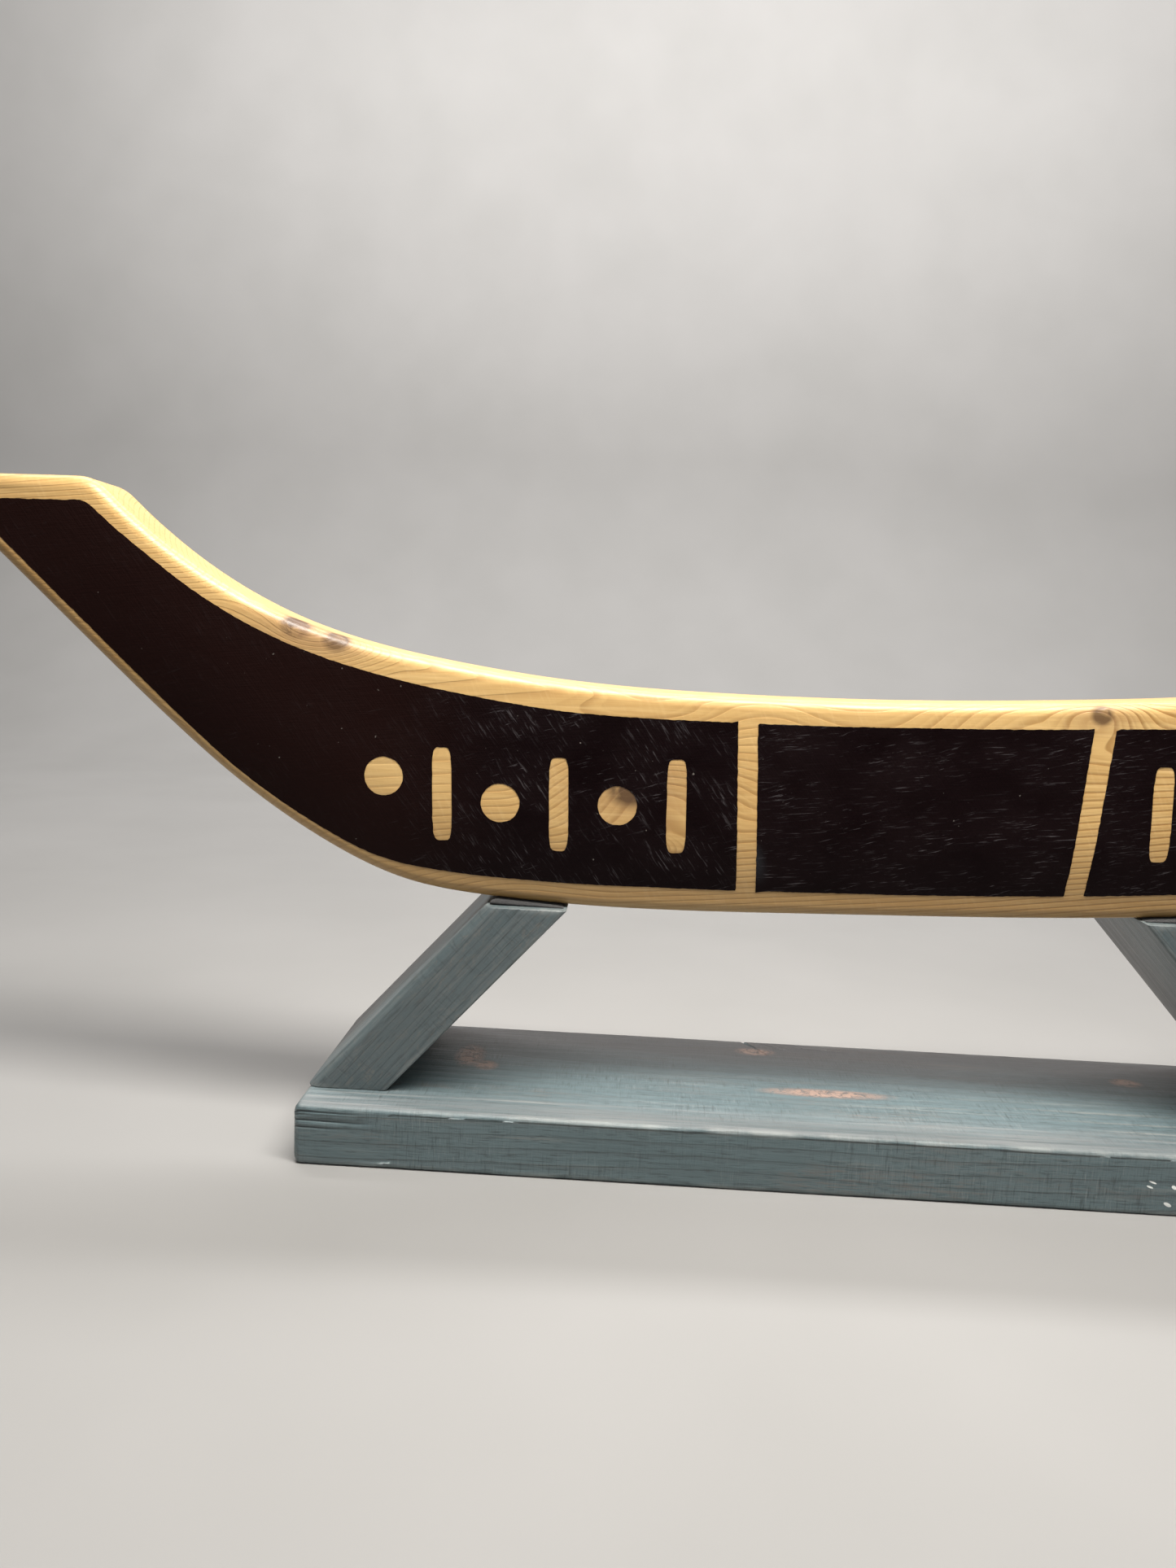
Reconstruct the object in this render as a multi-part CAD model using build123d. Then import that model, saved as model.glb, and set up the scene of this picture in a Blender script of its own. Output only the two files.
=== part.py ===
from build123d import *
import math
import os

# A painted wooden boomerang, carved from one thick plank, on its display stand.
# Millimetres, +Z up. The origin is the centre of the base board's underside, +X runs along the
# board, and the painted face of the boomerang looks towards -Y.

# ---- driving dimensions: display stand ----
BOARD_LENGTH = 684.0
BOARD_WIDTH = 152.4
LUMBER_THICKNESS = 38.0
BOARD_EDGE_RADIUS = 2.5
STRUT_LEAN = 48.0  # degrees above the board
STRUT_DEPTH = 125.0  # along Y, flush with the board's rear edge
LEFT_STRUT_HEIGHT = 123.0
RIGHT_STRUT_HEIGHT = 133.0
STRUT_FRONT_RADIUS = 7.0  # the outer front edge is rounded over by hand
STRUT_EDGE_RADIUS = 1.5

# ---- driving dimensions: boomerang ----
CARVING_THICKNESS = 48.0
CARVING_EDGE_RADIUS = 8.0
CARVING_CENTRE_X = 31.0
CARVING_KEEL_Z = 165.4
CARVING_TILT = 1.7  # degrees, the right arm sits higher
CARVING_FRONT_SETBACK = 2.6  # behind the struts' front faces
TIP_RADIUS = 9.0
SHOULDER_RADIUS = 26.0

# Half outlines in the carving's own axes: distance from the middle, height above the keel.
TIP = (611.0, 266.0)
SHOULDER = (501.0, 263.5)
LEFT_TOP = [(458, 224), (426, 202), (373, 176.5), (288, 154.5), (214, 143.2), (108, 135.7)]
RIGHT_TOP = [(458, 224), (426, 202), (373, 176), (288, 153), (214, 141), (118, 135.2)]
TOP_MIDDLE = (0.0, 133.2)
LEFT_KEEL = [
    (559, 214), (511, 165), (462, 116), (422, 80.5), (362, 39), (312, 16.5), (270, 8.6), (210, 3),
]
RIGHT_KEEL = [
    (559, 215), (511, 166), (462, 117), (422, 82), (362, 41), (312, 19.5), (270, 12), (210, 6),
]
KEEL_FLAT_HALF = 60.0
KEEL_FLAT_RISE = 0.3  # the flat's right end is this much higher

# ---- driving dimensions: joinery ----
DOWEL_RADIUS = 5.0
DOWEL_DEPTH = 20.0  # glued into the strut
DOWEL_REACH = 22.0  # above the strut's top
DOWEL_CLEARANCE = 0.06
DOWEL_HOLE_EXTRA = 2.0
DOWEL_INSET = 29.0  # from the strut's inner top corner
DOWEL_CHAMFER = 1.0
PAD_GAP = 0.3
PAD_MARGIN = 2.5
PAD_HOLE_CLEARANCE = 0.5
SCREW_LENGTH = 65.0
SCREW_RADIUS = 2.1
SCREW_HEAD_RADIUS = 4.2
SCREW_HEAD_HEIGHT = 2.9
SCREW_POINT_LENGTH = 7.0
SCREW_POINT_RADIUS = 0.3
SCREW_RECESS = 1.0
SCREW_CLEARANCE = 0.05
SCREW_INSET = 36.0  # from the board's end
SCREW_SPACING = 70.0
DRIVE_RADIUS = 1.9
DRIVE_DEPTH = 1.6
DRIVE_SIDES = 6

# ---- measuring aids ----
TOLERANCE = 0.01
PROBE_WIDTH = 0.2
PROBE_HEIGHT = 100.0

# ---- worked-out places ----
BOARD_END = BOARD_LENGTH / 2
BOARD_BACK = BOARD_WIDTH / 2
STRUT_FRONT = BOARD_BACK - STRUT_DEPTH
STRUT_MIDDLE_Y = BOARD_BACK - STRUT_DEPTH / 2
STRUT_FOOT_WIDTH = LUMBER_THICKNESS / math.sin(math.radians(STRUT_LEAN))
CARVING_FRONT = STRUT_FRONT + CARVING_FRONT_SETBACK
CARVING_MIDDLE_Y = CARVING_FRONT + CARVING_THICKNESS / 2
STRUTS = {"left": (-1, LEFT_STRUT_HEIGHT), "right": (1, RIGHT_STRUT_HEIGHT)}


def run_of(height):
    """How far a strut leans inwards over this height."""
    return height / math.tan(math.radians(STRUT_LEAN))


def strut_inner_top(side, height):
    """X of the strut's inner top corner."""
    return side * (BOARD_END - STRUT_FOOT_WIDTH - run_of(height))


def dowel_x(side, height):
    return strut_inner_top(side, height) + side * DOWEL_INSET


def mirrored(points):
    return [(-x, z) for x, z in points]


def plank(corners, front, depth):
    """A closed outline of X, Z corners, extruded from y = front towards +Y."""
    outline = make_face(Polyline(*corners, close=True))
    return extrude(Plane.XZ.offset(-front) * outline, -depth)


def vertical_cylinder(radius, x, y, bottom, height):
    return Pos(x, y, bottom + height / 2) * Cylinder(radius, height)


def dowel_cylinder(side, height, clearance, depth, reach):
    """On a dowel's axis, from depth below its strut's top to reach above it."""
    bottom = LUMBER_THICKNESS + height - depth
    x = dowel_x(side, height)
    return vertical_cylinder(DOWEL_RADIUS + clearance, x, CARVING_MIDDLE_Y, bottom, depth + reach)


def is_at(vertex, *places):
    """Whether a corner of a flat outline is at one of these places."""
    return any(math.dist((vertex.X, vertex.Y), place) < TOLERANCE for place in places)


def make_boomerang():
    """One plank: flat keel, arms swept up to flat-topped tips, all long edges rounded."""
    left_tip, right_tip = (-TIP[0], TIP[1]), TIP
    left_shoulder, right_shoulder = (-SHOULDER[0], SHOULDER[1]), SHOULDER
    top = [left_shoulder, *mirrored(LEFT_TOP), TOP_MIDDLE, *reversed(RIGHT_TOP), right_shoulder]
    keel_flat = [(-KEEL_FLAT_HALF, 0), (KEEL_FLAT_HALF, KEEL_FLAT_RISE)]
    keel = [left_tip, *mirrored(LEFT_KEEL), *keel_flat, *reversed(RIGHT_KEEL), right_tip]
    outline = make_face([  # drawn flat, so its Y is the height above the keel
        Line(left_tip, left_shoulder),
        Spline(*top),
        Line(right_shoulder, right_tip),
        Spline(*keel),
    ])
    outline = fillet([v for v in outline.vertices() if is_at(v, left_tip, right_tip)], TIP_RADIUS)
    shoulders = [v for v in outline.vertices() if is_at(v, left_shoulder, right_shoulder)]
    outline = fillet(shoulders, SHOULDER_RADIUS)
    body = extrude(Plane.XZ * outline, -CARVING_THICKNESS)
    long_edges = [e for e in body.edges() if e.bounding_box().size.Y < TOLERANCE]
    body = fillet(long_edges, CARVING_EDGE_RADIUS)
    body = Pos(CARVING_CENTRE_X, CARVING_FRONT, CARVING_KEEL_Z) * Rot(0, -CARVING_TILT, 0) * body
    for side, height in STRUTS.values():
        body -= dowel_cylinder(side, height, DOWEL_CLEARANCE, 0, DOWEL_REACH + DOWEL_HOLE_EXTRA)
    return body


def make_base_board():
    board = Pos(0, 0, LUMBER_THICKNESS / 2) * Box(BOARD_LENGTH, BOARD_WIDTH, LUMBER_THICKNESS)
    board = fillet(board.edges(), BOARD_EDGE_RADIUS)
    for side, _ in STRUTS.values():
        for x, y in screw_places(side):
            board -= screw_shape(x, y, SCREW_CLEARANCE)
            board -= vertical_cylinder(SCREW_HEAD_RADIUS + SCREW_CLEARANCE, x, y, 0, SCREW_RECESS)
    return board


def make_strut(side, height):
    """A leaning board, cut level at its foot and its top."""
    foot_outer, foot_inner = BOARD_END, BOARD_END - STRUT_FOOT_WIDTH
    low, high = LUMBER_THICKNESS, LUMBER_THICKNESS + height
    corners = [
        (side * foot_outer, low),
        (side * (foot_outer - run_of(height)), high),
        (side * (foot_inner - run_of(height)), high),
        (side * foot_inner, low),
    ]
    strut = plank(corners, STRUT_FRONT, STRUT_DEPTH)
    leaning = [e for e in strut.edges() if min(e.bounding_box().size.X, e.bounding_box().size.Z) > 1]
    front = min(leaning, key=lambda e: e.center().Y - side * e.center().X)
    front_place = front.center()
    others = [e for e in leaning if (e.center() - front_place).length > 1]
    strut = fillet(others, STRUT_EDGE_RADIUS)
    front = min(strut.edges(), key=lambda e: (e.center() - front_place).length)
    strut = fillet(front, STRUT_FRONT_RADIUS)
    strut -= dowel_cylinder(side, height, 0, DOWEL_DEPTH, 0)
    for x, y in screw_places(side):
        strut -= screw_shape(x, y, 0)
    return strut


def make_pad(side, height, carving):
    """Felt between the strut's level top and the curved keel, so its upper face slopes."""
    top = LUMBER_THICKNESS + height
    inner = strut_inner_top(side, height) + side * PAD_MARGIN
    outer = strut_inner_top(side, height) + side * (STRUT_FOOT_WIDTH - PAD_MARGIN)
    edges = [(x, keel_height(carving, x) - PAD_GAP) for x in (inner, outer)]
    corners = [(inner, top), edges[0], edges[1], (outer, top)]
    front = CARVING_FRONT + CARVING_EDGE_RADIUS / 2
    depth = CARVING_THICKNESS - CARVING_EDGE_RADIUS
    pad = plank(corners, front, depth)
    return pad - dowel_cylinder(side, height, PAD_HOLE_CLEARANCE, 0, DOWEL_REACH)


def keel_height(carving, x):
    """Z of the boomerang's underside at this X, on its middle plane."""
    probe = Box(PROBE_WIDTH, PROBE_WIDTH, PROBE_HEIGHT)
    probe = Pos(x, CARVING_MIDDLE_Y + DOWEL_RADIUS * 2, CARVING_KEEL_Z) * probe
    return (carving & probe).bounding_box().min.Z


def make_dowel(side, height):
    dowel = dowel_cylinder(side, height, 0, DOWEL_DEPTH, DOWEL_REACH)
    return chamfer(dowel.edges().sort_by(Axis.Z)[-1], DOWEL_CHAMFER)


def screw_places(side):
    x = side * (BOARD_END - SCREW_INSET)
    return [(x, STRUT_MIDDLE_Y + offset) for offset in (-SCREW_SPACING / 2, SCREW_SPACING / 2)]


def screw_shape(x, y, clearance):
    """Countersunk head, shank and point, driven upwards from the board's underside."""
    head = Cone(SCREW_HEAD_RADIUS + clearance, SCREW_RADIUS + clearance, SCREW_HEAD_HEIGHT)
    head = Pos(x, y, SCREW_RECESS + SCREW_HEAD_HEIGHT / 2) * head
    shank_start = SCREW_RECESS + SCREW_HEAD_HEIGHT
    shank_end = SCREW_RECESS + SCREW_LENGTH - SCREW_POINT_LENGTH
    shank = vertical_cylinder(SCREW_RADIUS + clearance, x, y, shank_start, shank_end - shank_start)
    point = Pos(x, y, shank_end + SCREW_POINT_LENGTH / 2)
    point *= Cone(SCREW_RADIUS + clearance, SCREW_POINT_RADIUS + clearance, SCREW_POINT_LENGTH)
    return head + shank + point


def make_screw(x, y):
    drive = extrude(RegularPolygon(DRIVE_RADIUS, DRIVE_SIDES), DRIVE_DEPTH)
    return screw_shape(x, y, 0) - Pos(x, y, SCREW_RECESS) * drive


def save(name, shape):
    shape.label = name
    export_step(shape, f"parts/{name}.step")


os.makedirs("parts", exist_ok=True)
boomerang = make_boomerang()
save("boomerang", boomerang)
save("base_board", make_base_board())
for name, (side, height) in STRUTS.items():
    save(f"{name}_strut", make_strut(side, height))
    save(f"{name}_pad", make_pad(side, height, boomerang))
    save(f"{name}_dowel", make_dowel(side, height))
    save(f"{name}_screws", Compound([make_screw(x, y) for x, y in screw_places(side)]))
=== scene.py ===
import math

import bmesh
import bpy
from mathutils import Matrix, Vector, kdtree, noise


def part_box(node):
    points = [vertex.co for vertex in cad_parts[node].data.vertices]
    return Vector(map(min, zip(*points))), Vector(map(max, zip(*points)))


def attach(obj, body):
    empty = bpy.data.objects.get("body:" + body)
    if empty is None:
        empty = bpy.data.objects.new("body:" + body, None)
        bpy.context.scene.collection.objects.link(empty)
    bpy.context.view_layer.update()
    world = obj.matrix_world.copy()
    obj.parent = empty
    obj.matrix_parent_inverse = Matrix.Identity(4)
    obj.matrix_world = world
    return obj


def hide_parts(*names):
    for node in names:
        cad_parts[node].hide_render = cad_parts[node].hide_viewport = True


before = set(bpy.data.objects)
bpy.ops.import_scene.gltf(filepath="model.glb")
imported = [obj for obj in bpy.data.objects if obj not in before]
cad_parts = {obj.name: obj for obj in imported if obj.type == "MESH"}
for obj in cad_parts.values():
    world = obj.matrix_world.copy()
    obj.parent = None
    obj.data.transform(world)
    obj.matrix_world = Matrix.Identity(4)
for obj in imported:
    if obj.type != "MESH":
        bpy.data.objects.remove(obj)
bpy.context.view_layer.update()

# Painted cedar boomerang on its stained timber stand. Metres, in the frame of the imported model.
# The carving's ornament is drawn in millimetres in its own axes: u along it, v above its keel.

MM = 0.001

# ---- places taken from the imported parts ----
CARVING_LOW, CARVING_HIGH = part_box("boomerang")
BOARD_LOW, BOARD_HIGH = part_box("base_board")
CARVING_CENTRE = Vector((0.031, 0.1654))  # x and z of the keel's middle
CARVING_TILT = math.radians(1.7)
CARVING_EDGE_RADIUS = 0.008
STRUT_LEAN = math.radians(48)
NOISE_SEED = 11
noise.seed_set(NOISE_SEED)  # the same wobble in the painted outlines each time


# ---- geometry helpers ----

MERGE_DISTANCE = 1e-5
FLAT_DISTANCE = 1e-6
ROUND_POINTS = 48  # points round a drilled hole


def mesh_object(name, points, faces):
    mesh = bpy.data.meshes.new(name)
    mesh.from_pydata([tuple(p) for p in points], [], faces)
    mesh.validate()
    mesh.update()
    obj = bpy.data.objects.new(name, mesh)
    bpy.context.scene.collection.objects.link(obj)
    mesh.shade_smooth()
    return obj


def tidy_mesh(obj):
    """Merges doubled points, drops the faces that this flattens, and turns normals outwards."""
    work = bmesh.new()
    work.from_mesh(obj.data)
    bmesh.ops.remove_doubles(work, verts=work.verts, dist=MERGE_DISTANCE)
    bmesh.ops.dissolve_degenerate(work, edges=work.edges, dist=FLAT_DISTANCE)
    bmesh.ops.recalc_face_normals(work, faces=work.faces)
    work.to_mesh(obj.data)
    work.free()
    obj.data.update()


def loft(name, loops, capped=True):
    """A skin over closed loops that all have the same number of points."""
    count = len(loops[0])
    points = [p for loop in loops for p in loop]
    faces = []
    for i in range(len(loops) - 1):
        for j in range(count):
            k = (j + 1) % count
            faces.append((i * count + j, i * count + k, (i + 1) * count + k, (i + 1) * count + j))
    if capped:
        faces.append(tuple(reversed(range(count))))
        faces.append(tuple(range((len(loops) - 1) * count, len(loops) * count)))
    obj = mesh_object(name, points, faces)
    tidy_mesh(obj)
    return obj


def paint_point_value(obj, name, values):
    attribute = obj.data.attributes.new(name, "FLOAT", "POINT")
    attribute.data.foreach_set("value", values)


def catmull(p0, p1, p2, p3, t):
    """A point between p1 and p2 on a smooth curve through all four."""
    a = 2 * p1
    b = p2 - p0
    c = 2 * p0 - 5 * p1 + 4 * p2 - p3
    d = -p0 + 3 * p1 - 3 * p2 + p3
    return (a + b * t + c * t * t + d * t * t * t) / 2


def smooth_line(points, step, closed=False):
    """Points about a step apart on a smooth curve through the given ones."""
    given = [Vector(p) for p in points]
    count = len(given)
    if closed:
        get = lambda i: given[i % count]
        spans = range(count)
    else:
        ends = {-1: 2 * given[0] - given[1], count: 2 * given[-1] - given[-2]}
        get = lambda i: ends.get(i) or given[i]
        spans = range(count - 1)
    out = []
    for i in spans:
        parts = max(1, round((get(i + 1) - get(i)).length / step))
        out += [catmull(get(i - 1), get(i), get(i + 1), get(i + 2), k / parts) for k in range(parts)]
    if not closed:
        out.append(given[-1])
    return out


def even_line(points, count):
    """The same open line with this many points, evenly spaced."""
    lengths = [0.0]
    for a, b in zip(points, points[1:]):
        lengths.append(lengths[-1] + (b - a).length)
    out, i = [], 0
    for k in range(count):
        target = lengths[-1] * k / (count - 1)
        while i < len(points) - 2 and lengths[i + 1] < target:
            i += 1
        span = max(lengths[i + 1] - lengths[i], 1e-12)
        out.append(points[i].lerp(points[i + 1], min(1.0, (target - lengths[i]) / span)))
    return out


def blend_between(table, at):
    """Straight-line interpolation in a list of (place, value)."""
    if at <= table[0][0]:
        return table[0][1]
    for (a, va), (b, vb) in zip(table, table[1:]):
        if at <= b:
            return va + (vb - va) * (at - a) / (b - a)
    return table[-1][1]


def nearest_of(points):
    """A search tree over flat points; its find() gives the nearest one and how far it is."""
    tree = kdtree.KDTree(len(points))
    for index, p in enumerate(points):
        tree.insert((p.x, p.y, 0), index)
    tree.balance()
    return tree


# ---- the carving's outline ----

OUTLINE_STEP = 0.003
LEVEL_TOLERANCE = 0.00005


def read_outline(node, level):
    """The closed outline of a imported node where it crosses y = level, as (x, z) in order."""
    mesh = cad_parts[node].data
    links = {}
    for edge in mesh.edges:
        ends = [mesh.vertices[i].co for i in edge.vertices]
        if any(abs(p.y - level) > LEVEL_TOLERANCE for p in ends):
            continue
        a, b = ((round(p.x, 6), round(p.z, 6)) for p in ends)
        if a != b:
            links.setdefault(a, set()).add(b)
            links.setdefault(b, set()).add(a)
    here = min(links)
    walk, seen = [here], {here}
    while True:
        ahead = [p for p in links[here] if p not in seen]
        if not ahead:
            return [Vector(p) for p in walk]
        here = min(ahead, key=lambda p: (Vector(p) - Vector(here)).length)
        walk.append(here)
        seen.add(here)


def top_and_keel(outline):
    """Splits the closed outline at its two tips into its upper and lower lines, left to right."""
    left = min(range(len(outline)), key=lambda i: outline[i].x)
    turned = outline[left:] + outline[:left]
    right = max(range(len(turned)), key=lambda i: turned[i].x)
    one, other = turned[: right + 1], [turned[0]] + list(reversed(turned[right:]))
    middle_height = lambda line: min(line, key=lambda p: abs(p.x - CARVING_CENTRE.x)).y
    return (one, other) if middle_height(one) > middle_height(other) else (other, one)


def inward_normals(line, below):
    """Unit normals of a left-to-right line, pointing down if it is the upper one."""
    normals = []
    for i in range(len(line)):
        along = line[min(i + 1, len(line) - 1)] - line[max(i - 1, 0)]
        normal = Vector((along.y, -along.x)).normalized()
        normals.append(normal if below else -normal)
    return normals


def to_own_axes(p):
    """From (x, z) in metres to the carving's own (u, v) in millimetres."""
    d = p - CARVING_CENTRE
    c, s = math.cos(CARVING_TILT), math.sin(CARVING_TILT)
    return Vector(((d.x * c + d.y * s) / MM, (-d.x * s + d.y * c) / MM))


def from_own_axes(p):
    c, s = math.cos(CARVING_TILT), math.sin(CARVING_TILT)
    return CARVING_CENTRE + Vector((p.x * c - p.y * s, p.x * s + p.y * c)) * MM


OUTLINE = read_outline("boomerang", CARVING_LOW.y + CARVING_EDGE_RADIUS)
TOP_LINE, KEEL_LINE = top_and_keel(smooth_line(OUTLINE, OUTLINE_STEP, closed=True))


# ---- carving ----

KNOTS = [  # u, v, radius, strength: they bend the grain, and the strong ones are dark
    (-377, 176, 9, 1.0), (-353, 167, 8, 1.0), (-173, 80, 13, 0.9), (106, 127, 6, 0.8), (-402, 112, 11, 0.2),
    (265, 60, 9, 0.6), (420, 150, 8, 0.7),
]
CURLS = [  # u, v, radius, strength: they only bend the grain
    (-118, 96, 15, 0.6), (-150, 118, 12, -0.5), (70, 131, 16, 0.5), (-250, 15, 12, 0.4),
]
ARC_SPACING = 0.0040
ARC_HEIGHT = 0.0062
NESTED_ARCS = [  # centre and radii of patches where the cut meets the rings in nested arcs
    ((-0.288, CARVING_LOW.y, 0.2567), (0.036, 0.03, 0.011)),
    ((-0.118, CARVING_LOW.y, 0.2020), (0.030, 0.03, 0.012)),
]
ROLL_HEIGHT = 0.060  # the faces roll back by ROLL_DEPTH at the keel, from this high above it
ROLL_DEPTH = 0.0075
ROLL_END = 585.0  # mm from the middle, where the roll has died out towards a tip
ROLL_FADE = 130.0  # mm over which it dies out
# How far above the keel the painted shade on the carving's faces reaches.
KEEL_SHADE_HEIGHT = 0.062
KEEL_TREE = nearest_of(KEEL_LINE)
STATIONS = 460  # sections along the carving
ROWS = 22  # steps up a face, then round an edge, then across the top
ROUND_STEPS = 8
SIDE_ROWS = 8
SURFACE_WAVE = 0.00016  # how far the hand-finished surface strays from true
HOLE_PLAY = 0.00006  # how much wider and deeper a hole is than its dowel
HOLE_DEPTH_PLAY = 0.002


def wave_at(p, scale, seed=0.0):
    """Smooth noise from 0 to 1."""
    return 0.5 + 0.5 * noise.noise(Vector(p) * scale + Vector((seed, seed * 2, seed * 3)))


def face_setback(x, z):
    """How far both faces roll back towards the keel, in the band just above it."""
    distance = KEEL_TREE.find((x, z, 0))[2]
    share = (ROLL_END - abs(to_own_axes(Vector((x, z))).x)) / ROLL_FADE
    return ROLL_DEPTH * min(1.0, max(0.0, share)) * max(0.0, 1 - distance / ROLL_HEIGHT) ** 2


def carving_loop(top, top_normal, keel, keel_normal):
    """One section through the carving: up the face, over the top, down the back, under the keel."""
    r = CARVING_EDGE_RADIUS
    front, back = CARVING_LOW.y, CARVING_HIGH.y
    loop = []

    def place(p, normal, inset, y):
        q = p + normal * inset
        loop.append(Vector((q.x, y, q.y)))

    def face(a, b, y, sign):
        for k in range(1, ROWS):
            q = a.lerp(b, k / ROWS)
            depth = SURFACE_WAVE * wave_at((q.x, y, q.y), 14) + face_setback(q.x, q.y)
            loop.append(Vector((q.x, y + sign * depth, q.y)))

    def corner(p, normal, start_y, sign, rising, setback=0.0):
        for k in range(ROUND_STEPS + 1):
            angle = math.pi / 2 * (k if rising else ROUND_STEPS - k) / ROUND_STEPS
            inset = r * (1 - math.sin(angle))
            place(p, normal, inset, start_y + sign * (r * (1 - math.cos(angle)) + setback))

    def side(p, normal, start_y, end_y):
        for k in range(1, SIDE_ROWS):
            y = start_y + (end_y - start_y) * k / SIDE_ROWS
            place(p, normal, SURFACE_WAVE * wave_at((p.x, y, p.y), 20, 3.0), y)

    low = face_setback(*(keel + keel_normal * r))
    face(keel + keel_normal * r, top + top_normal * r, front, 1)
    corner(top, top_normal, front, 1, True)
    side(top, top_normal, front + r, back - r)
    corner(top, top_normal, back, -1, False)
    face(top + top_normal * r, keel + keel_normal * r, back, -1)
    corner(keel, keel_normal, back, -1, True, low)
    side(keel, keel_normal, back - low - r, front + low + r)
    corner(keel, keel_normal, front, 1, False, low)
    return loop


def cut_away(obj, cutter):
    """Takes the cutter's shape out of a piece."""
    cut = obj.modifiers.new("cut", "BOOLEAN")
    cut.object = cutter
    cut.solver = "EXACT"
    bpy.context.view_layer.update()
    mesh = bpy.data.meshes.new_from_object(obj.evaluated_get(bpy.context.evaluated_depsgraph_get()))
    obj.modifiers.clear()
    obj.data = mesh
    bpy.data.objects.remove(cutter)


def round_loop(centre, radius, z):
    angles = [2 * math.pi * k / ROUND_POINTS for k in range(ROUND_POINTS)]
    return [Vector((centre.x + radius * math.cos(a), centre.y + radius * math.sin(a), z)) for a in angles]


def cut_hole(obj, node):
    """Bores the hole that a dowel sits in, a little wider and deeper than the dowel."""
    low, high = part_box(node)
    centre = (low + high) / 2
    radius = (high.x - low.x) / 2 + HOLE_PLAY
    rings = [round_loop(centre, radius, z) for z in (low.z, high.z + HOLE_DEPTH_PLAY)]
    cut_away(obj, loft("hole_cutter", rings))


def make_carving():
    top = even_line(TOP_LINE, STATIONS)
    keel = even_line(KEEL_LINE, STATIONS)
    top_normals, keel_normals = inward_normals(top, True), inward_normals(keel, False)
    tip_normals = {0: Vector((1, 0)), STATIONS - 1: Vector((-1, 0))}
    loops = []
    for i in range(STATIONS):
        normals = [tip_normals.get(i, n) for n in (top_normals[i], keel_normals[i])]
        loops.append(carving_loop(top[i], normals[0], keel[i], normals[1]))
    carving = loft("carved_boomerang", loops, capped=False)
    for node in ("left_dowel", "right_dowel"):
        cut_hole(carving, node)
    return carving


# ---- painted ornament ----

PAINT_THICKNESS = 0.00015
PAINT_STEP = 1.6  # mm between points along a painted edge
HAND_WOBBLE = 0.45  # mm, how unsteady the painted edges are
PAINT_CELL = 0.006
TOP_BORDER = [  # mm from the middle, width of the bare border there
    (0, 15), (120, 16), (210, 18), (300, 17), (400, 14.5), (460, 12), (497, 13), (512, 15.5), (620, 15.5),
]
KEEL_BORDER = [(0, 15), (160, 16), (240, 14.5), (300, 12.5), (340, 8.5), (420, 7), (480, 8.5), (620, 9)]
FIELD_END = 580  # u where the black field of an arm stops, short of the tip
CROSSING_SHARE = 0.985  # an offset point nearer to the outline than this share of its border is dropped
CORNER_SOFTNESS = 7.0  # mm
FINEST_OVOID = 24  # fewest points round an ovoid
ROW_COUNT = 6  # the plain pattern on each arm: how many, then places and sizes in mm
ROW_START = 145
ROW_SPACING = 36
ROW_HEIGHT = 68
ROW_TURN = 240  # where the row starts to climb with the arm
ROW_RISE = 0.0022
ROW_DISC = (24, 24, 2.0)  # width, height and how square
ROW_BAR = (12, 58, 5.0)
WOBBLES = ((0.22, 0, 0.6), (0.9, 5, 0.4))  # how quick, which layer of the noise, what share
SAME_PLACE = 1e-7


def softened(points, reach):
    """Each point moved to the middle of those near it, evenly on both sides, to round the corners."""
    result = []
    for index, p in enumerate(points):
        side, room = 0, min(index, len(points) - 1 - index)
        while side < room:
            pair = points[index + side + 1], points[index - side - 1]
            if max((q - p).length for q in pair) >= reach:
                break
            side += 1
        near = points[index - side:index + side + 1]
        result.append(sum(near, Vector((0, 0))) / len(near))
    return result


def border_line(line, below, border, start, end):
    """The painted edge that follows the outline, from u = start to u = end."""
    tree = nearest_of(line)
    points = []
    for p, n in zip(line, inward_normals(line, below)):
        width = blend_between(border, abs(to_own_axes(p).x)) * MM
        q = p + n * width
        inside = to_own_axes(q)
        crossed_over = tree.find((q.x, q.y, 0))[2] < width * CROSSING_SHARE
        if min(start, end) <= inside.x <= max(start, end) and not crossed_over:
            points.append(inside)
    points.sort(key=lambda p: p.x, reverse=start > end)
    return softened(points, CORNER_SOFTNESS)


def top_edge(start, end):
    return border_line(TOP_LINE, True, TOP_BORDER, start, end)


def keel_edge(start, end):
    return border_line(KEEL_LINE, False, KEEL_BORDER, start, end)


def shape(*strokes):
    """A closed shape whose strokes are smooth lines that meet at corners."""
    points = []
    for stroke in strokes:
        points += smooth_line(stroke, PAINT_STEP)[:-1]
    return points


def ovoid(u, v, width, height, power):
    """A superellipse: a disc at power 2, nearly a rectangle at 5."""
    points, steps = [], max(FINEST_OVOID, int(2 * (width + height) / PAINT_STEP))
    for k in range(steps):
        a = 2 * math.pi * k / steps
        x = math.copysign(abs(math.cos(a)) ** (2 / power), math.cos(a)) * width / 2
        y = math.copysign(abs(math.sin(a)) ** (2 / power), math.sin(a)) * height / 2
        points.append(Vector((u + x, v + y)))
    return points


def plain_row(side):
    """Evenly spaced discs and upright bars of bare wood along one arm, a plain pattern of its own."""
    row = []
    for index in range(ROW_COUNT):
        u = ROW_START + index * ROW_SPACING
        v = ROW_HEIGHT + ROW_RISE * max(0.0, u - ROW_TURN) ** 2
        width, height, power = ROW_DISC if index % 2 else ROW_BAR
        row.append(ovoid(side * u, v, width, height, power))
    return row


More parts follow.
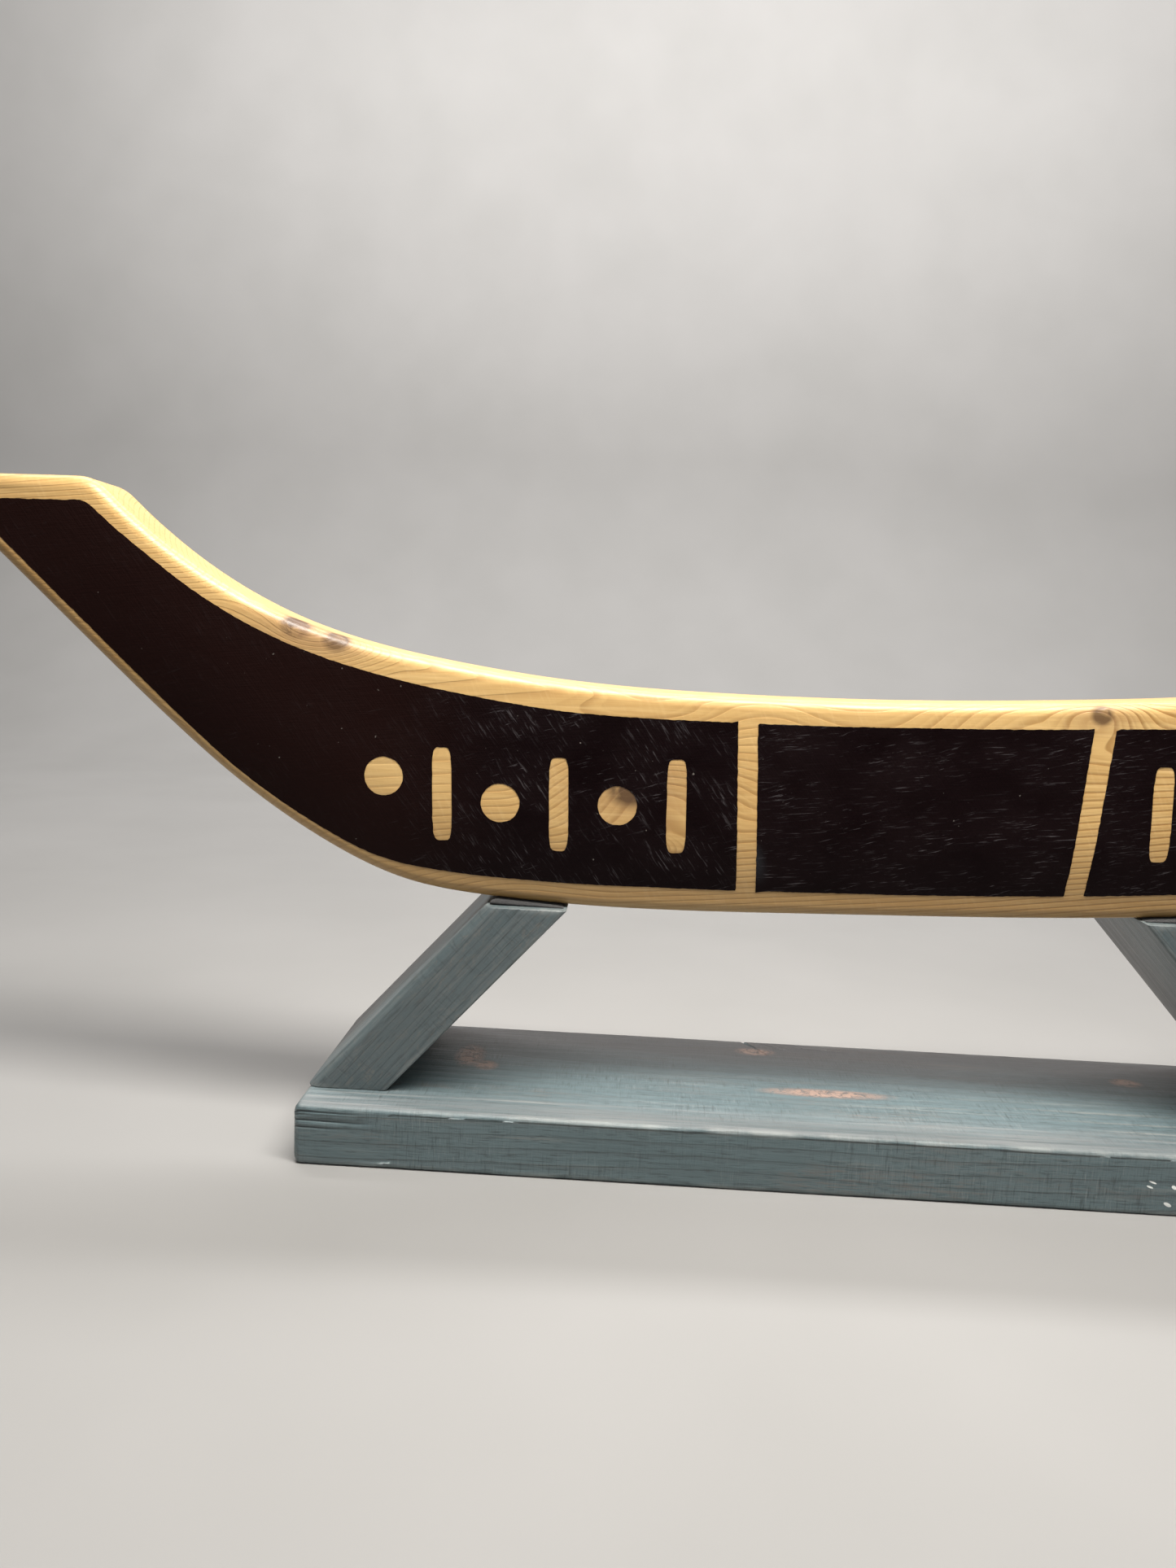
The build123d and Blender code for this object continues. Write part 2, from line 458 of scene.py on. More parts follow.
def left_field():
    """The left arm's black field, which ends at the bare strip beside the middle block."""
    outer = shape(
        top_edge(-FIELD_END, -109),
        [(-109, 120.8), (-107, 15.5)],
        keel_edge(-107, -FIELD_END),
        [(-FIELD_END, 247), (-FIELD_END, 251)],
    )
    return [outer, *plain_row(-1)]


def middle_block():
    return [shape(
        top_edge(-97, 102),
        [(102, 119.2), (97, 67), (92, 15.5)],
        keel_edge(92, -95),
        [(-95, 14.8), (-96, 67), (-97, 120.3)],
    )]


def right_field():
    """The right arm's black field."""
    outer = shape(
        top_edge(115, FIELD_END),
        [(FIELD_END, 251), (FIELD_END, 247)],
        keel_edge(FIELD_END, 104),
        [(104, 17), (115, 119.8)],
    )
    return [outer, *plain_row(1)]


def cut_into_cells(mesh):
    """Slices a flat mesh along an even grid, so that it can bend over the carving's rolled face."""
    work = bmesh.new()
    work.from_mesh(mesh)
    for axis in (0, 1):
        places = [v.co[axis] for v in work.verts]
        at = min(places) + PAINT_CELL
        while at < max(places):
            point, normal = Vector((0, 0, 0)), Vector((0, 0, 0))
            point[axis], normal[axis] = at, 1.0
            geometry = work.verts[:] + work.edges[:] + work.faces[:]
            bmesh.ops.bisect_plane(work, geom=geometry, dist=SAME_PLACE, plane_co=point, plane_no=normal)
            at += PAINT_CELL
    work.to_mesh(mesh)
    work.free()


def make_paint(name, outlines):
    """A thin piece just proud of the carving's face: outer shapes filled, inner ones cut out."""
    curve = bpy.data.curves.new(name, "CURVE")
    curve.dimensions = "2D"
    curve.fill_mode = "BOTH"
    curve.extrude = PAINT_THICKNESS
    for outline in outlines:
        spline = curve.splines.new("POLY")
        spline.points.add(len(outline) - 1)
        spline.use_cyclic_u = True
        for point, p in zip(spline.points, outline):
            wobble = Vector((0, 0, 0))
            for quickness, layer, share in WOBBLES:
                wobble += noise.noise_vector(Vector((p.x, p.y, layer)) * quickness) * share
            placed = from_own_axes(p + wobble.xy * HAND_WOBBLE)
            point.co = (placed.x, placed.y, 0, 1)
    drawn = bpy.data.objects.new(name + "_outline", curve)
    bpy.context.scene.collection.objects.link(drawn)
    bpy.context.view_layer.update()
    mesh = bpy.data.meshes.new_from_object(drawn.evaluated_get(bpy.context.evaluated_depsgraph_get()))
    bpy.data.objects.remove(drawn)
    cut_into_cells(mesh)
    for vertex in mesh.vertices:
        x, z, depth = vertex.co
        vertex.co = (x, CARVING_LOW.y + face_setback(x, z) - depth, z)
    mesh.name = name
    paint = bpy.data.objects.new(name, mesh)
    bpy.context.scene.collection.objects.link(paint)
    tidy_mesh(paint)
    return paint


# ---- stand ----

BOARD_ROUND = 0.0026
BOARD_END_ROUND = 0.0048
BOARD_LEVEL_START = BOARD_ROUND * 1.7  # how far in from an edge the flat part of a face starts
SECTION_STEP = 0.003
BOARD_CRACKS = [  # height above the underside, how far it runs in from the left end, depth
    (0.0345, 0.042, 0.0022), (0.0290, 0.052, 0.0026), (0.0245, 0.036, 0.0020), (0.0325, 0.012, 0.0010),
]
CRACK_HALF_WIDTH = 0.0006
CRACK_SLANT = -0.018
CRACKED_LENGTH = 0.06
CAP_INSET = 0.009  # an extra ring of points on each sawn end, so that only its rim counts as an edge
SAWN_WAVE = 0.00012
EDGE_SPLITS = [  # where a split starts at the back edge, where it ends, its width and its depth
    ((-0.054, 0.0775), (-0.037, 0.050), 0.0048, 0.0070),
    ((-0.048, 0.0775), (-0.021, 0.0605), 0.0018, 0.0030),
    ((-0.010, 0.0660), (0.022, 0.0635), 0.0009, 0.0012),
]
SPLIT_WANDER = 0.0012
CUT_PAST = 0.001  # how far a cutter stands out of the face that it cuts
SCREW_PLAY = 0.0001
SCREW_HEAD = 0.0031


def edge_wear(place, seed):
    """0 to 1, how far a corner is worn at this place along it."""
    broad = wave_at((place, seed, 0), 9)
    fine = wave_at((place, seed, 1), 55)
    return 0.65 * broad + 0.35 * fine


def board_rows():
    """Heights up the board's front face, closer together at the cracks."""
    low, high = BOARD_LOW.z + BOARD_LEVEL_START, BOARD_HIGH.z - BOARD_LEVEL_START
    rows = [low + (high - low) * k / 16 for k in range(17)]
    for height, _, _ in BOARD_CRACKS:
        rows = [z for z in rows if abs(z - height) > 2 * CRACK_HALF_WIDTH]
        rows += [height - CRACK_HALF_WIDTH, height, height + CRACK_HALF_WIDTH]
    return sorted(rows)


def crack_depth(x, z):
    """The cracks run in from the left end and close up as they go."""
    depth = 0.0
    for height, run, deepest in BOARD_CRACKS:
        along = (x - BOARD_LOW.x) / run
        if abs(z - height) < CRACK_HALF_WIDTH / 2 and along < 1:
            depth = max(depth, deepest * (1 - along) * (0.7 + 0.3 * wave_at((x, z, 0), 300)))
    return depth


def board_loop(x, inset):
    """A section of the base board at x; inset draws it in where the ends round over."""
    front, back = BOARD_LOW.y + inset, BOARD_HIGH.y - inset
    bottom, top = BOARD_LOW.z + inset, BOARD_HIGH.z - inset
    middle = (bottom + top) / 2
    squeeze = (top - bottom) / (BOARD_HIGH.z - BOARD_LOW.z)
    loop = []

    def corner(y, z, into_y, into_z, start, seed):
        r = BOARD_ROUND * (0.75 + 0.85 * edge_wear(x, seed))
        for k in range(6):
            a = math.radians(start - 90 * k / 5)
            loop.append(Vector((x, y + into_y * r + r * math.cos(a), z + into_z * r + r * math.sin(a))))

    def level(start_y, end_y, z, count, seed):
        for k in range(1, count):
            y = start_y + (end_y - start_y) * k / count
            dip = SAWN_WAVE * wave_at((x, y, 0), 45, seed)
            dip *= min(1.0, 4 * k / count, 4 * (count - k) / count)
            loop.append(Vector((x, y, z + (dip if z < middle else -dip))))

    corner(front, bottom, 1, 1, 270, 2.0)
    for z in board_rows():
        along = x - BOARD_LOW.x
        slant = CRACK_SLANT * along if along < CRACKED_LENGTH else 0
        dent = SAWN_WAVE * wave_at((x, 0, z), 60, 5.0)
        loop.append(Vector((x, front + crack_depth(x, z) + dent, middle + (z + slant - middle) * squeeze)))
    corner(front, top, 1, -1, 180, 1.0)
    level(front + BOARD_LEVEL_START, back - BOARD_LEVEL_START, top, 40, 7.0)
    corner(back, top, -1, -1, 90, 4.0)
    corner(back, bottom, -1, 1, 0, 6.0)
    level(back - BOARD_LEVEL_START, front + BOARD_LEVEL_START, bottom, 14, 9.0)
    return loop


def end_stations(low, high, radius):
    """Places along a board, with how far the section is drawn in at each, rounding both ends."""
    turn = [(radius * (1 - math.cos(a)), radius * (1 - math.sin(a)))
            for a in (math.pi / 2 * k / 5 for k in range(6))]
    start = [(low + along, inset) for along, inset in turn]
    end = [(high - along, inset) for along, inset in reversed(turn)]
    count = round((high - low - 2 * radius) / SECTION_STEP)
    middle = [(low + radius + (high - low - 2 * radius) * k / count, 0.0) for k in range(1, count)]
    return [(low, CAP_INSET)] + start + middle + end + [(high, CAP_INSET)]


def split_cutter(start, end, width, depth):
    """A thin wedge that narrows along its run and with depth."""
    a, b = Vector(start), Vector(end)
    across = Vector((-(b - a).y, (b - a).x)).normalized()
    sections = []
    for k in range(9):
        t = k / 8
        wander = across * SPLIT_WANDER * (wave_at((t * 3, a.x, a.y), 2.3) - 0.5)
        p = a.lerp(b, t) + wander
        half = across * (width * (1 - 0.9 * t) / 2)
        floor = BOARD_HIGH.z - depth * (1 - 0.75 * t)
        lift = BOARD_HIGH.z + CUT_PAST
        edge = [(p - half, lift), (p - half * 0.2, floor), (p + half * 0.2, floor), (p + half, lift)]
        sections.append([Vector((q.x, q.y, z)) for q, z in edge])
    return loft("split_cutter", sections)


def make_board():
    """The base board, split at its back edge and bored from below for the screw heads."""
    stations = end_stations(BOARD_LOW.x, BOARD_HIGH.x, BOARD_END_ROUND)
    board = loft("timber_base", [board_loop(x, inset) for x, inset in stations])
    for split in EDGE_SPLITS:
        cut_away(board, split_cutter(*split))
    for node in ("left_screws", "right_screws"):
        low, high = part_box(node)
        x, r = (low.x + high.x) / 2, (high.x - low.x) / 2
        for y in (low.y + r, high.y - r):
            heights = (BOARD_LOW.z - CUT_PAST, low.z + SCREW_PLAY, low.z + SCREW_HEAD)
            rings = [round_loop(Vector((x, y)), r + SCREW_PLAY, z) for z in heights]
            cut_away(board, loft("screw_cutter", rings))
    return board


STRUT_FRONT_ROUND = 0.007
STRUT_ROUND = 0.0018
STRUT_END_ROUND = 0.0007
PAD_THIN_EDGE = 0.0008
FUZZ = 0.0002
FLUTES = 20
FLUTE_DEPTH = 0.00022


def strut_measures(low, high, side):
    """How wide a level section of a strut is, and where its outer face meets the board."""
    return (high.x - low.x) - (high.z - low.z) / math.tan(STRUT_LEAN), high.x if side > 0 else low.x


def strut_loop(low, high, side, z, inset):
    """A level section through a leaning strut, its outer front corner well rounded."""
    width, outer_foot = strut_measures(low, high, side)
    outer = outer_foot - side * (z - low.z) / math.tan(STRUT_LEAN) - side * inset
    inner = outer - side * (width - 2 * inset)
    front, back = low.y + inset, high.y - inset
    loop = []

    def corner(x, y, dx, dy, radius, start):
        r = radius * (0.8 + 0.5 * edge_wear(z * 2, start + side))
        for k in range(7):
            a = math.pi / 2 * k / 6 + start
            loop.append(Vector((x + dx * r + r * math.cos(a), y + dy * r + r * math.sin(a), z)))

    def line(a, b, count):
        for k in range(1, count):
            loop.append(a.lerp(b, k / count))

    low_x, high_x = min(outer, inner), max(outer, inner)
    low_round = STRUT_FRONT_ROUND if side < 0 else STRUT_ROUND
    high_round = STRUT_FRONT_ROUND if side > 0 else STRUT_ROUND
    corner(high_x, back, -1, -1, STRUT_ROUND, 0)
    line(loop[-1], Vector((low_x + STRUT_ROUND, back, z)), 14)
    corner(low_x, back, 1, -1, STRUT_ROUND, math.pi / 2)
    line(loop[-1], Vector((low_x, front + low_round, z)), 30)
    corner(low_x, front, 1, 1, low_round, math.pi)
    line(loop[-1], Vector((high_x - high_round, front, z)), 14)
    corner(high_x, front, -1, 1, high_round, 3 * math.pi / 2)
    line(loop[-1], Vector((high_x, back - STRUT_ROUND, z)), 30)
    return loop


def make_strut(side, node):
    low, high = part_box(node)
    stations = end_stations(low.z, high.z, STRUT_END_ROUND)
    name = "leaning_strut_left" if side < 0 else "leaning_strut_right"
    return loft(name, [strut_loop(low, high, side, z, inset) for z, inset in stations])


def make_pad(side, node):
    """Felt with soft, slightly fuzzy edges, thicker towards the outside of the stand: a black wedge that
    fills the shadowed gap under the carving.
    """
    low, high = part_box(node)
    columns, rows = 48, 44
    loops = []
    for i in range(columns + 1):
        across = i / columns
        thick_end = 1 - across if side < 0 else across
        thickness = PAD_THIN_EDGE + (high.z - low.z - PAD_THIN_EDGE) * thick_end
        x = low.x + (high.x - low.x) * across
        under, over = [], []
        for j in range(rows + 1):
            y = low.y + (high.y - low.y) * j / rows
            soft = min(1.0, 14 * min(across, 1 - across, j / rows, 1 - j / rows))
            fuzz = FUZZ * wave_at((x, y, 1), 900)
            under.append(Vector((x, y, low.z + thickness * 0.2 * (1 - soft))))
            over.append(Vector((x, y, low.z + thickness * (0.5 + 0.5 * soft) - fuzz)))
        loops.append(under + over[::-1])
    return loft("felt_" + node, loops)


def make_dowel(node):
    """A fluted hardwood dowel with a chamfered top."""
    low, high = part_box(node)
    centre = (low + high) / 2
    radius = (high.x - low.x) / 2
    steps = 6 * FLUTES

    def ring(z, scale):
        loop = []
        for k in range(steps):
            a = 2 * math.pi * k / steps
            groove = FLUTE_DEPTH * (0.5 + 0.5 * math.cos(a * FLUTES)) ** 2
            r = (radius - groove) * scale
            loop.append(Vector((centre.x + r * math.cos(a), centre.y + r * math.sin(a), z)))
        return loop

    levels = [low.z, low.z + 0.0006, centre.z, high.z - 0.0011, high.z - 0.0004, high.z]
    scales = [0.94, 1.0, 1.0, 1.0, 0.93, 0.78]
    return loft("fluted_" + node, [ring(z, s) for z, s in zip(levels, scales)])


# ---- material helpers ----

class Surface:
    """A procedural material in the making, with a short name for each node that it uses."""

    def __init__(self, name, turn=(0, 0, 0)):
        self.material = bpy.data.materials.new(name)
        self.material.use_nodes = True
        self.tree = self.material.node_tree
        self.tree.nodes.clear()
        output = self.tree.nodes.new("ShaderNodeOutputMaterial")
        self.shader = self.tree.nodes.new("ShaderNodeBsdfPrincipled")
        self.tree.links.new(self.shader.outputs["BSDF"], output.inputs["Surface"])
        self.place = self.tree.nodes.new("ShaderNodeTexCoord").outputs["Object"]
        self.grain = self.turned(turn)

    def add(self, kind, *inputs, **settings):
        node = self.tree.nodes.new(kind)
        for key, value in settings.items():
            setattr(node, key, value)
        for socket, value in zip(node.inputs, inputs):
            self.put(socket, value)
        return node

    def put(self, socket, value):
        if value is None:
            return
        if isinstance(value, bpy.types.NodeSocket):
            self.tree.links.new(value, socket)
        else:
            socket.default_value = value

    def finish(self, **values):
        """Joins the colour and the named values to the shader."""
        self.put(self.shader.inputs["Base Color"], self.color)
        for key, value in values.items():
            self.put(self.shader.inputs[key.replace("_", " ")], value)
        return self.material

    def math(self, operation, a, b=0.0):
        return self.add("ShaderNodeMath", a, b, operation=operation).outputs[0]

    def chained(self, operation, values):
        """The operation on the first two values, then on its result and the next one, and so on."""
        out = values[0]
        for value in values[1:]:
            out = self.math(operation, out, value)
        return out

    def times(self, *values):
        return self.chained("MULTIPLY", values)

    def plus(self, *values):
        return self.chained("ADD", values)

    def minus(self, *values):
        return self.chained("SUBTRACT", values)

    def highest(self, *values):
        return self.chained("MAXIMUM", values)

    def vector(self, operation, a, b=(0, 0, 0)):
        node = self.add("ShaderNodeVectorMath", a, b, operation=operation)
        return node.outputs["Value" if operation == "LENGTH" else "Vector"]

    def turned(self, turn):
        """The place, turned by these degrees about x, y and z."""
        node = self.add("ShaderNodeMapping", self.place)
        node.inputs["Rotation"].default_value = [math.radians(a) for a in turn]
        return node.outputs["Vector"]

    def noise(self, scale, detail=4.0, rough=0.5, warp=0.0, turn=None):
        """Soft noise, this many times finer along x, y and z, along the grain or at its own turn."""
        place = self.turned(turn) if turn else self.grain
        node = self.add("ShaderNodeTexNoise", self.vector("MULTIPLY", place, scale))
        settings = {"Scale": 1.0, "Detail": detail, "Roughness": rough, "Distortion": warp}
        for key, value in settings.items():
            self.put(node.inputs[key], value)
        return node.outputs["Fac"]

    def span(self, value, low, high, to_low=0.0, to_high=1.0, smooth=False):
        kind = "SMOOTHSTEP" if smooth else "LINEAR"
        node = self.add("ShaderNodeMapRange", value, low, high, to_low, to_high, interpolation_type=kind)
        return node.outputs[0]

    def ramp(self, value, *stops):
        """The surface's first colour: blends between (place, colour) stops."""
        node = self.add("ShaderNodeValToRGB", value)
        elements = node.color_ramp.elements
        while len(elements) < len(stops):
            elements.new(0.5)
        for element, (place, color) in zip(elements, stops):
            element.position = place
            element.color = (*color, 1)
        self.color = node.outputs["Color"]

    def over(self, amount, color):
        """Lays this much of another colour over the surface's colour so far."""
        node = self.add("ShaderNodeMix", data_type="RGBA")
        for index, value in ((0, amount), (6, self.color), (7, (*color, 1))):
            self.put(node.inputs[index], value)
        self.color = node.outputs[2]

    def bump(self, height, strength, distance, normal=None):
        node = self.add("ShaderNodeBump")
        settings = {"Height": height, "Strength": strength, "Distance": distance, "Normal": normal}
        for key, value in settings.items():
            self.put(node.inputs[key], value)
        return node.outputs["Normal"]

    def near(self, centre, radii, turn=0.0):
        """1 at a place, fading smoothly to 0 at these radii along x, y and z, turned about y."""
        node = self.add("ShaderNodeMapping", self.place, vector_type="TEXTURE")
        node.inputs["Location"].default_value = centre
        node.inputs["Rotation"].default_value = (0, math.radians(turn), 0)
        node.inputs["Scale"].default_value = radii
        return self.span(self.vector("LENGTH", node.outputs["Vector"]), 0.0, 1.0, 1.0, 0.0, smooth=True)

    def attribute(self, name):
        return self.add("ShaderNodeAttribute", attribute_name=name).outputs["Fac"]


def growth_rings(s, pith_y, pith_z, climb, spacing, waviness, knots=()):
    """Distance from the log's heart in ring widths, disturbed by slow waves and by knots."""
    x, y, z = s.add("ShaderNodeSeparateXYZ", s.grain).outputs
    slope = s.times(x, climb)
    from_heart = s.add("ShaderNodeCombineXYZ", 0.0, s.minus(y, pith_y))
    s.put(from_heart.inputs[2], s.minus(z, pith_z, slope))
    distance = s.vector("LENGTH", from_heart.outputs[0])
    slow = s.noise((1.9, 9, 7), detail=2.0)
    quick = s.noise((8, 60, 45), detail=3.0)
    wander = s.plus(s.times(slow, waviness), s.times(quick, waviness * 0.07))
    distance = s.plus(distance, wander)
    for centre, radius, strength in knots:
        pull = s.near(centre, (radius * 6.3, radius * 4.2, radius * 4.2))
        distance = s.plus(distance, s.times(pull, strength * radius * 1.5))
    return s.math("DIVIDE", distance, spacing)


def ring_line(s, rings, sharp_from=0.55):
    """A dark line late in each ring, soft before it and sharp after it."""
    phase = s.math("FRACT", rings)
    rise = s.span(phase, sharp_from, 0.93, smooth=True)
    fall = s.span(phase, 0.93, 1.0, 1.0, 0.0, smooth=True)
    return s.times(rise, fall)


# ---- materials ----

def knot_places(table):
    places = []
    for u, v, radius, strength in table:
        x, z = from_own_axes(Vector((u, v)))
        places.append(((x, CARVING_LOW.y, z), radius * MM, strength))
    return places


def cedar():
    """Varnished yellow cedar: fine rings that open out along the top, knots, fibre streaks, and painted
    shade towards the keel.
    """
    s = Surface("varnished_cedar")
    knots = knot_places(KNOTS)
    rings = growth_rings(s, CARVING_LOW.y + 0.062, 0.302, 0.10, 0.0030, 0.018, knots + knot_places(CURLS))
    x, _, z = s.add("ShaderNodeSeparateXYZ", s.place).outputs
    line = ring_line(s, rings)
    fine_line = ring_line(s, s.times(rings, 2.0), 0.3)
    patch = s.noise((5, 18, 11), detail=3.0)
    streak = s.noise((9, 330, 330), rough=0.6)
    fibre = s.noise((40, 1100, 1100), detail=3.0, rough=0.6)
    brushed = s.noise((420, 300, 50), detail=2.0, turn=(0, 24, 0))
    s.ramp(patch, (0.3, (0.52, 0.325, 0.120)), (0.5, (0.59, 0.380, 0.148)), (0.72, (0.64, 0.430, 0.178)))
    faint = s.span(s.noise((3, 14, 9), detail=2.0), 0.36, 0.64, 0.35, 0.90)
    faint = s.times(faint, s.span(x, -0.26, -0.10, 0.42, 1.0, smooth=True), s.span(x, 0.02, 0.16, 1.0, 1.35))
    s.over(s.times(line, faint), (0.30, 0.155, 0.042))
    s.over(s.times(fine_line, faint, 0.45), (0.38, 0.205, 0.062))
    for centre, radii in NESTED_ARCS:
        rise = s.times(s.minus(z, centre[2]), 1 / ARC_HEIGHT)
        arcs = s.plus(s.times(x, 1 / ARC_SPACING), s.times(rise, rise))
        arcs = s.plus(arcs, s.times(s.noise((60, 60, 60), detail=2.0), 1.2))
        s.over(s.times(ring_line(s, arcs, 0.35), s.near(centre, radii), 0.65), (0.34, 0.185, 0.058))
    s.over(s.span(streak, 0.50, 0.72, 0.0, 0.45), (0.44, 0.240, 0.075))
    s.over(s.span(streak, 0.28, 0.46, 0.40, 0.0), (0.76, 0.54, 0.25))
    s.over(s.span(fibre, 0.48, 0.74, 0.0, 0.35), (0.42, 0.230, 0.075))
    s.over(s.span(brushed, 0.52, 0.72, 0.0, 0.12), (0.78, 0.58, 0.31))
    # Painted shade: the faces are darkened towards the keel, where the light from above falls off.
    s.over(s.times(s.attribute("low"), 0.50), (0.225, 0.120, 0.042))
    dents = []
    for centre, radius, strength in knots:
        halo = s.near(centre, (radius * 5.8, radius * 3.0, radius * 3.0))
        uneven = s.span(s.noise((70, 70, 110), warp=0.8), 0.32, 0.52, 0.35, 1.0)
        s.over(s.times(halo, 0.55 * strength), (0.250, 0.135, 0.066))
        core = s.near(centre, (radius * 1.7, radius * 2.2, radius * 1.6))
        dark = s.times(s.span(core, 0.12, 0.55), uneven, strength)
        s.over(dark, (0.075, 0.038, 0.018))
        dents.append(dark)
    height = s.plus(s.times(line, -0.5), s.times(streak, 0.5), s.times(s.highest(*dents), -1.6))
    normal = s.bump(height, 0.35, 0.0006)
    normal = s.bump(s.noise((30, 30, 30), detail=2.0), 0.08, 0.004, normal)
    rough = s.plus(s.span(fibre, 0.3, 0.7, 0.34, 0.45), s.times(line, 0.08))
    return s.finish(Roughness=rough, Normal=normal, Coat_Weight=0.25, Coat_Roughness=0.30,
                    Specular_IOR_Level=0.4)


def black_paint():
    """Brushed black: brown-black body, sparse strokes and scratches painted paler as painted highlight where
    they catch the light, small scuffs.
    """
    s = Surface("brushed_black_paint")
    x = s.add("ShaderNodeSeparateXYZ", s.place).outputs[0]
    level_zone = s.span(x, CARVING_CENTRE.x - 0.12, CARVING_CENTRE.x - 0.09, smooth=True)
    slanted = s.noise((900, 200, 80), detail=3.0, rough=0.6, warp=0.3, turn=(0, 36, 0))
    level = s.noise((60, 200, 1000), rough=0.62, warp=0.4, turn=(0, 6, 0))
    steep = s.noise((85, 200, 1100), detail=3.0, rough=0.6, warp=0.4, turn=(0, 17, 0))
    patches = s.noise((26, 40, 38), detail=3.0)
    other_patches = s.noise((34, 40, 52), detail=3.0, turn=(0, 30, 0))
    x_out = s.math("ABSOLUTE", s.minus(x, CARVING_CENTRE.x))
    arm_zone = s.span(x_out, 0.24, 0.34, smooth=True)
    level_scratch_glints = s.times(s.span(level, 0.60, 0.74), s.span(patches, 0.42, 0.62), level_zone)
    steep_scratch_glints = s.times(s.span(steep, 0.62, 0.74), s.span(other_patches, 0.46, 0.62))
    slanted_scratch_glints = s.times(s.span(slanted, 0.58, 0.72), s.span(patches, 0.40, 0.60),
                            s.minus(1.0, level_zone), 0.7)
    # Strokes and scratches painted paler: partly real scratches, partly painted highlight where they catch
    # the light.
    worn = s.highest(level_scratch_glints, steep_scratch_glints, slanted_scratch_glints)
    worn = s.times(worn, s.minus(1.0, s.times(arm_zone, 0.92)))
    s.ramp(patches, (0.3, (0.0034, 0.0010, 0.0013)), (0.7, (0.0062, 0.0026, 0.0030)))
    s.over(arm_zone, (0.0095, 0.0032, 0.0026))
    # Painted highlight on the strokes and scratches, laid on as a paler colour.
    s.over(s.times(worn, 0.80), (0.110, 0.100, 0.106))
    specks = s.noise((330, 330, 330), detail=1.0)
    s.over(s.span(specks, 0.80, 0.83, 0.0, 0.6), (0.22, 0.20, 0.18))
    scuff = s.near((-0.066, CARVING_LOW.y, 0.198), (0.008, 0.02, 0.020), -18)
    s.over(s.times(scuff, 0.30), (0.050, 0.058, 0.066))
    strokes = s.plus(level, slanted)
    normal = s.bump(strokes, 0.55, 0.0005)
    rough = s.plus(s.span(patches, 0.3, 0.7, 0.36, 0.50), s.times(worn, 0.12))
    return s.finish(Roughness=rough, Normal=normal, Specular_IOR_Level=0.07)


BASE_MARKS = [  # centre and radii of chips and knots where the brown wood shows through the stain
    ((-0.247, 0.019, BOARD_HIGH.z), (0.015, 0.028, 0.01)),
    ((-0.234, 0.003, BOARD_HIGH.z), (0.012, 0.012, 0.01)),
    ((-0.006, -0.013, BOARD_HIGH.z), (0.062, 0.010, 0.01)),
    ((-0.045, 0.055, BOARD_HIGH.z), (0.020, 0.010, 0.01)),
    ((0.210, 0.035, BOARD_HIGH.z), (0.016, 0.010, 0.01)),
]
WHITE_FLECKS = [  # centre, radii and turn of small splashes of white paint on the front face
    ((0.1772, BOARD_LOW.y, 0.0210), (0.0040, 0.002, 0.0009), 20),
    ((0.1758, BOARD_LOW.y, 0.0180), (0.0034, 0.002, 0.0010), 20),
    ((0.1900, BOARD_LOW.y, 0.0185), (0.0028, 0.002, 0.0018), 35),
    ((0.1872, BOARD_LOW.y, 0.0075), (0.0040, 0.002, 0.0018), 25),
]


